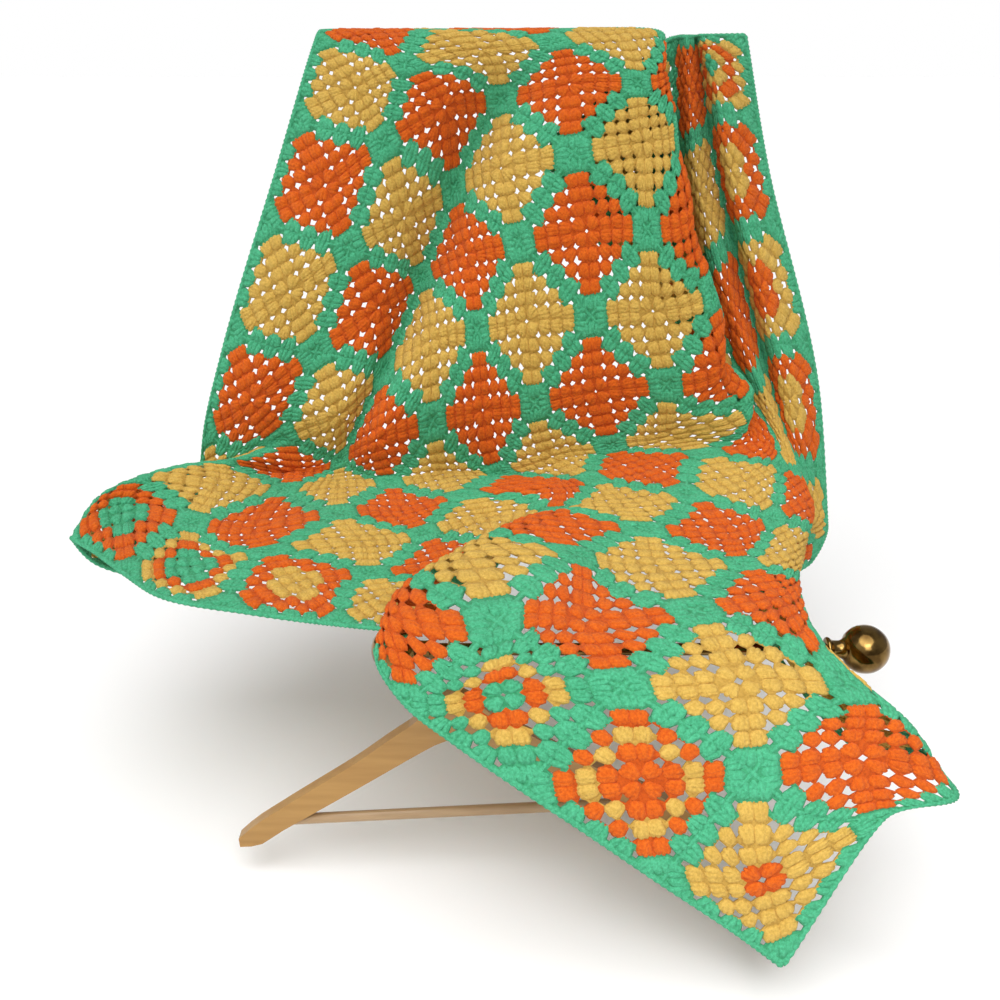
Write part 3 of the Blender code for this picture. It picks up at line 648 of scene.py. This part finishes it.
def stitches(squares_across, squares_down, rings, sides, middles, tilts):
    """Points of the three stitches of every cluster.  Each runs on a straight line from the
    foot to the top, and the lines lean outward as a fan.  Round the line the section is an
    ellipse that swells and closes.  The fan is then tilted, turned to its side of the square
    and laid on the cloth."""
    count = len(rings)
    deep = (slice(None), None, None, None)
    weight = pulled(squares_across, squares_down)
    size = 1.0 + hand.normal(0.0, SIZE_VARIES, count)
    open_up = 1.0 + (FAN_WIDER - FAN_PULLED * weight) * (rings < ROUNDS)
    wide = CORNER_WIDTH * (tilts != 0.0) * (rings < ROUNDS)
    foot = FAN_FEET[rings - 1] + wide
    top = FAN_TOPS[rings - 1] * open_up + wide
    angle = 2.0 * np.pi * np.arange(STITCH_SIDES) / STITCH_SIDES
    plump = 1.0 + hand.normal(0.0, PLUMP_VARIES, (count, len(LEAN), 1, 1))
    swell = STITCH_SWELL[None, None, :, None] * plump * size[deep]
    run = STITCH_LENGTH + MIDDLE_LONGER * (LEAN == 0.0)
    drift = (top - foot)[:, None] * LEAN[None, :]
    length = np.hypot(run[None, :], drift)[:, :, None, None]
    along = STITCH_ALONG[None, None, :, None]
    aside = foot[deep] * LEAN[None, :, None, None] + drift[:, :, None, None] * along
    ahead = run[None, :, None, None] * along - STITCH_LENGTH / 2.0
    round_line = swell * STITCH_RADIUS * np.cos(angle)
    aside = aside + round_line * run[None, :, None, None] / length
    ahead = ahead - round_line * drift[:, :, None, None] / length
    low = 1.0 - LAST_ROUND_LOWER * (rings == ROUNDS)
    height = swell * STITCH_HEIGHT * low[deep] * DOME[None, :, None, None] * np.sin(angle)

    tilted = tilts + hand.normal(0.0, TILT_VARIES, count)
    cos_tilt, sin_tilt = np.cos(tilted)[deep], np.sin(tilted)[deep]
    shift = hand.normal(0.0, PLACE_VARIES, (2, count))
    s = (middles + shift[0])[deep] + aside * cos_tilt + ahead * sin_tilt
    further = (CORNER_REACH * rings - CORNER_DRAW) * (tilts != 0.0)
    out = ROUND_STEP * rings + further + shift[1]
    t = out[deep] - aside * sin_tilt + ahead * cos_tilt
    turn = sides * np.pi / 2.0
    cos_turn, sin_turn = np.round(np.cos(turn))[deep], np.round(np.sin(turn))[deep]
    u = squares_across[deep] + 0.5 + (s * cos_turn - t * sin_turn) / CELLS
    v = squares_down[deep] + 0.5 + (s * sin_turn + t * cos_turn) / CELLS
    u = np.clip(u, -PAST_HEM, SQUARES + PAST_HEM)
    v = np.clip(v, FIRST_ROW - PAST_HEM, LAST_EDGE + PAST_HEM)
    return on_cloth(u, v, height)


def tube_faces(tubes, rings, sides):
    """Faces round and along many like tubes, then a flat cap at each tube's two ends."""
    start = (np.arange(tubes) * rings * sides)[:, None, None]
    ring = (np.arange(rings - 1) * sides)[None, :, None]
    here = np.arange(sides)[None, None, :]
    after = (here + 1) % sides
    low = start + ring
    walls = np.stack([low + here, low + after, low + sides + after, low + sides + here], axis=-1)
    first = start[:, 0, 0][:, None] + np.arange(sides)[::-1][None, :]
    last = start[:, 0, 0][:, None] + (rings - 1) * sides + np.arange(sides)[None, :]
    return walls.reshape(-1, 4), np.concatenate([first, last])


def tube_piece(name, points, finish):
    """A piece of many like tubes, with their own map: once round, and along in tube widths."""
    tubes, rings, sides = points.shape[:3]
    walls, caps = tube_faces(tubes, rings, sides)
    piece = new_piece(name, points, walls.tolist() + caps.tolist(), finish)
    around = np.arange(sides) / sides
    along = np.arange(rings) * 0.5
    own_map = np.stack(np.meshgrid(along, around, indexing="ij"), axis=-1)
    own_map = np.broadcast_to(own_map, (tubes, rings, sides, 2)).reshape(-1, 2)
    corners = np.zeros(len(piece.data.loops), np.int32)
    piece.data.loops.foreach_get("vertex_index", corners)
    piece.data.uv_layers.new(name="UVMap").data.foreach_set("uv", own_map[corners].reshape(-1))
    return piece


each_square = np.stack([column.reshape(-1), row.reshape(-1)], axis=-1)
square_of = np.repeat(each_square, len(cluster_ring), axis=0)
ring_of = np.tile(cluster_ring, len(each_square))
side_of = np.tile(cluster_side, len(each_square))
middle_of = np.tile(cluster_middle, len(each_square))
tilt_of = np.tile(cluster_tilt, len(each_square))
colour_of = round_colour[square_of[:, 0], square_of[:, 1] - FIRST_ROW, ring_of - 1]

# The clusters of one colour are split in two pieces: the coloured ones at the last of their
# four rounds, and the green ones at the fifth row down.  The columns are the piece's name, its
# colour and its clusters.
COLOURED_ROUNDS = ROUNDS - 1
LOWER_ROWS = 2
CLUSTER_PIECES = (
    ("orange_inner_rounds", ORANGE, ring_of < COLOURED_ROUNDS),
    ("orange_outer_round", ORANGE, ring_of == COLOURED_ROUNDS),
    ("mustard_inner_rounds", MUSTARD, ring_of < COLOURED_ROUNDS),
    ("mustard_outer_round", MUSTARD, ring_of == COLOURED_ROUNDS),
    ("green_rounds_upper", GREEN, square_of[:, 1] < LOWER_ROWS),
    ("green_rounds_lower", GREEN, square_of[:, 1] >= LOWER_ROWS),
)
for piece_name, colour, chosen in CLUSTER_PIECES:
    chosen = chosen & (colour_of == colour)
    cluster_points = stitches(
        square_of[chosen, 0], square_of[chosen, 1], ring_of[chosen], side_of[chosen],
        middle_of[chosen], tilt_of[chosen],
    )
    cluster_points = cluster_points.reshape(-1, len(STITCH_ALONG), STITCH_SIDES, 3)
    clusters = tube_piece(piece_name, cluster_points, [yarns[colour]])
    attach(clusters, "root")
    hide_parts("blanket")

# Joins and edging
# Green chain stitches join the squares along their sides, and one more row of them edges the
# whole blanket.  Both lie as a low beaded line, a bead for each stitch.
BEADS_PER_SQUARE = 20
BEAD_STEPS = 2
BEAD_WAIST = 0.72
JOIN = (0.4, 0.0015)
EDGE = (0.6, 0.0028)


def beaded_line(start, end, radius, height):
    """A tube on the cloth between two places, its radius swelling once for every stitch.  The
    radius across is in steps of a twentieth of a square and the height is in metres."""
    steps = SQUARES * BEADS_PER_SQUARE * BEAD_STEPS
    t = np.linspace(0.0, 1.0, steps + 1)
    swell = np.where(np.arange(steps + 1) % BEAD_STEPS == 0, BEAD_WAIST, 1.0)
    angle = 2.0 * np.pi * np.arange(STITCH_SIDES) / STITCH_SIDES
    start, end = np.array(start, float), np.array(end, float)
    run = (end - start) / np.linalg.norm(end - start)
    aside = np.array([run[1], -run[0]])
    middle = start + (end - start) * t[:, None]
    across = swell[:, None] * np.cos(angle)[None, :] * radius / CELLS
    place = middle[:, None, :] + across[..., None] * aside
    rise = swell[:, None] * np.sin(angle)[None, :] * height
    return on_cloth(place[..., 0], place[..., 1], rise)


join_lines = [
    beaded_line((k, FIRST_ROW), (k, LAST_EDGE), *JOIN) for k in range(1, SQUARES)
]
join_lines += [
    beaded_line((0, k), (SQUARES, k), *JOIN) for k in range(FIRST_ROW + 1, LAST_EDGE)
]
joins = tube_piece("joins", np.array(join_lines), [yarns[GREEN]])
edge_lines = [
    beaded_line((0, FIRST_ROW), (0, LAST_EDGE), *EDGE),
    beaded_line((SQUARES, FIRST_ROW), (SQUARES, LAST_EDGE), *EDGE),
    beaded_line((0, FIRST_ROW), (SQUARES, FIRST_ROW), *EDGE),
    beaded_line((0, LAST_EDGE), (SQUARES, LAST_EDGE), *EDGE),
]
edging = tube_piece("edging", np.array(edge_lines), [yarns[GREEN]])
for piece in (joins, edging):
    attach(piece, "root")
    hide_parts("blanket")

# Coat hanger
# The arms and the bar are light beech with a satin varnish, its grain running along them.
# The hook is bright wire.


def wood_finish(name, light, dark, grain_turn):
    """Grain is a wave across the board, stretched along it, and the same grain gives a faint
    bump.
    """
    finish = bpy.data.materials.new(name)
    finish.use_nodes = True
    nodes, links = finish.node_tree.nodes, finish.node_tree.links
    shader = nodes["Principled BSDF"]
    shader.inputs["Roughness"].default_value = 0.42
    shader.inputs["Coat Weight"].default_value = 0.25
    place = nodes.new("ShaderNodeTexCoord")
    turned = nodes.new("ShaderNodeMapping")
    turned.inputs["Rotation"].default_value = (0.0, radians(grain_turn), 0.0)
    turned.inputs["Scale"].default_value = (6.0, 60.0, 60.0)
    links.new(place.outputs["Object"], turned.inputs["Vector"])
    grain = nodes.new("ShaderNodeTexNoise")
    grain.inputs["Scale"].default_value = 2.2
    grain.inputs["Detail"].default_value = 5.0
    links.new(turned.outputs["Vector"], grain.inputs["Vector"])
    tones = nodes.new("ShaderNodeValToRGB")
    tones.color_ramp.elements[0].position = 0.3
    tones.color_ramp.elements[0].color = (*dark, 1.0)
    tones.color_ramp.elements[1].position = 0.7
    tones.color_ramp.elements[1].color = (*light, 1.0)
    links.new(grain.outputs["Fac"], tones.inputs["Fac"])
    links.new(tones.outputs["Color"], shader.inputs["Base Color"])
    bump = nodes.new("ShaderNodeBump")
    bump.inputs["Strength"].default_value = 0.15
    bump.inputs["Distance"].default_value = 0.0005
    links.new(grain.outputs["Fac"], bump.inputs["Height"])
    links.new(bump.outputs["Normal"], shader.inputs["Normal"])
    return finish


def finish_node(name, finish):
    """Gives a solid that is shown as it is its own finish."""
    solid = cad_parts[name]
    solid.data.materials.clear()
    solid.data.materials.append(finish)


arms_beech = wood_finish("satin beech", (0.44, 0.235, 0.055), (0.36, 0.178, 0.036), 38.0)
bar_beech = wood_finish("beech bar", (0.44, 0.29, 0.15), (0.32, 0.2, 0.095), 3.0)
finish_node("hanger_arms", arms_beech)
finish_node("hanger_bar", bar_beech)


def metal_finish(name, bright, dark, roughness, scale):
    """Metal whose colour darkens in patches, as handling and age leave it."""
    finish = bpy.data.materials.new(name)
    finish.use_nodes = True
    nodes, links = finish.node_tree.nodes, finish.node_tree.links
    shader = nodes["Principled BSDF"]
    shader.inputs["Metallic"].default_value = 1.0
    shader.inputs["Roughness"].default_value = roughness
    place = nodes.new("ShaderNodeTexCoord")
    patches = nodes.new("ShaderNodeTexNoise")
    patches.inputs["Scale"].default_value = scale
    patches.inputs["Detail"].default_value = 6.0
    links.new(place.outputs["Object"], patches.inputs["Vector"])
    tones = nodes.new("ShaderNodeValToRGB")
    tones.color_ramp.elements[0].position = 0.38
    tones.color_ramp.elements[0].color = (*dark, 1.0)
    tones.color_ramp.elements[1].position = 0.62
    tones.color_ramp.elements[1].color = (*bright, 1.0)
    links.new(patches.outputs["Fac"], tones.inputs["Fac"])
    links.new(tones.outputs["Color"], shader.inputs["Base Color"])
    return finish


wire = metal_finish("bright wire", (0.72, 0.72, 0.73), (0.6, 0.6, 0.61), 0.22, 90.0)
finish_node("hanger_hook", wire)

# Rail and knobs
# The rail is a brass bar.  Each knob is a brass ball on a short collar, fixed to its end, and
# was polished bright once and is brown with age now.  The brass of both is darker still as a
# painted reflection of a dark room, in place of the white one around it.
MM = 0.001
TURNED_SIDES = 64
KNOB_RINGS = 72
RAIL_BEVEL = 0.8 * MM
RAIL_TIP = 0.9


def turned_piece(name, along, radius, centre, facing, finish):
    """A solid turned about a line across the view.  Round the line stands one ring of points
    for each radius, at its distance along, and a fan of triangles closes each end."""
    angle = 2.0 * np.pi * np.arange(TURNED_SIDES) / TURNED_SIDES
    rings = np.stack(np.broadcast_arrays(
        centre[0] + facing * along[:, None],
        centre[1] + facing * radius[:, None] * np.cos(angle),
        centre[2] + radius[:, None] * np.sin(angle),
    ), axis=-1).reshape(-1, 3)
    ends = np.array([centre, centre])
    ends[0, 0] += facing * along[0]
    ends[1, 0] += facing * along[-1]
    here = np.arange(TURNED_SIDES)
    after = (here + 1) % TURNED_SIDES
    start = (np.arange(len(along) - 1) * TURNED_SIDES)[:, None]
    walls = np.stack([start + here, start + after, start + TURNED_SIDES + after,
                      start + TURNED_SIDES + here], axis=-1).reshape(-1, 4)
    first = np.stack([np.full(TURNED_SIDES, len(rings)), after, here], axis=-1)
    rim = len(rings) - TURNED_SIDES
    last = np.stack([np.full(TURNED_SIDES, len(rings) + 1), rim + here, rim + after], axis=-1)
    faces = walls.tolist() + first.tolist() + last.tolist()
    return new_piece(name, np.concatenate([rings, ends]), faces, [finish])


# Brown with age, and darker still as a painted reflection of a dark room.
aged_brass_dark_reflection = metal_finish("aged brass with painted dark reflection", (0.27, 0.165, 0.05), (0.10, 0.055, 0.016), 0.16, 60.0)
# The outline of a knob, in millimetres: the distance from the rail's end, then the radius.
KNOB_OUTLINE = np.array([
    (0.0, 7.6), (0.3, 8.6), (1.2, 10.9), (2.5, 11.5), (4.0, 11.2), (5.5, 9.8), (9.0, 8.4),
    (14.0, 8.4), (17.2, 10.0), (20.4, 14.8), (24.8, 18.8), (31.0, 22.0), (38.0, 23.0),
    (45.0, 22.0), (51.2, 18.8), (55.6, 14.8), (58.8, 9.7), (60.4, 4.8), (60.9, 1.6),
]) * MM
steps_along = np.hypot(*np.diff(KNOB_OUTLINE, axis=0).T)
knob_place = np.concatenate([[0.0], np.cumsum(steps_along)])
knob_rings = np.linspace(0.0, knob_place[-1], KNOB_RINGS)
knob_curve = smooth_curve(knob_place, KNOB_OUTLINE, knob_rings)
for knob_name, facing in (("knob_right", 1.0), ("knob_left", -1.0)):
    low, high = np.array(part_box(knob_name), float)
    centre = (low + high) / 2.0
    centre[0] = low[0] if facing > 0.0 else high[0]
    knob = turned_piece(knob_name + "_turned", knob_curve[:, 0], knob_curve[:, 1], centre,
                        facing, aged_brass_dark_reflection)
    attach(knob, "root")
    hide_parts(knob_name)
low, high = np.array(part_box("rod"), float)
rail_length, rail_radius = high[0] - low[0], (high[2] - low[2]) / 2.0
rail_centre = np.array([low[0], (low[1] + high[1]) / 2.0, (low[2] + high[2]) / 2.0])
rail = turned_piece(
    "rail", np.array([0.0, RAIL_BEVEL, rail_length - RAIL_BEVEL, rail_length]),
    rail_radius * np.array([RAIL_TIP, 1.0, 1.0, RAIL_TIP]), rail_centre, 1.0, aged_brass_dark_reflection,
)
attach(rail, "root")
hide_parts("rod")
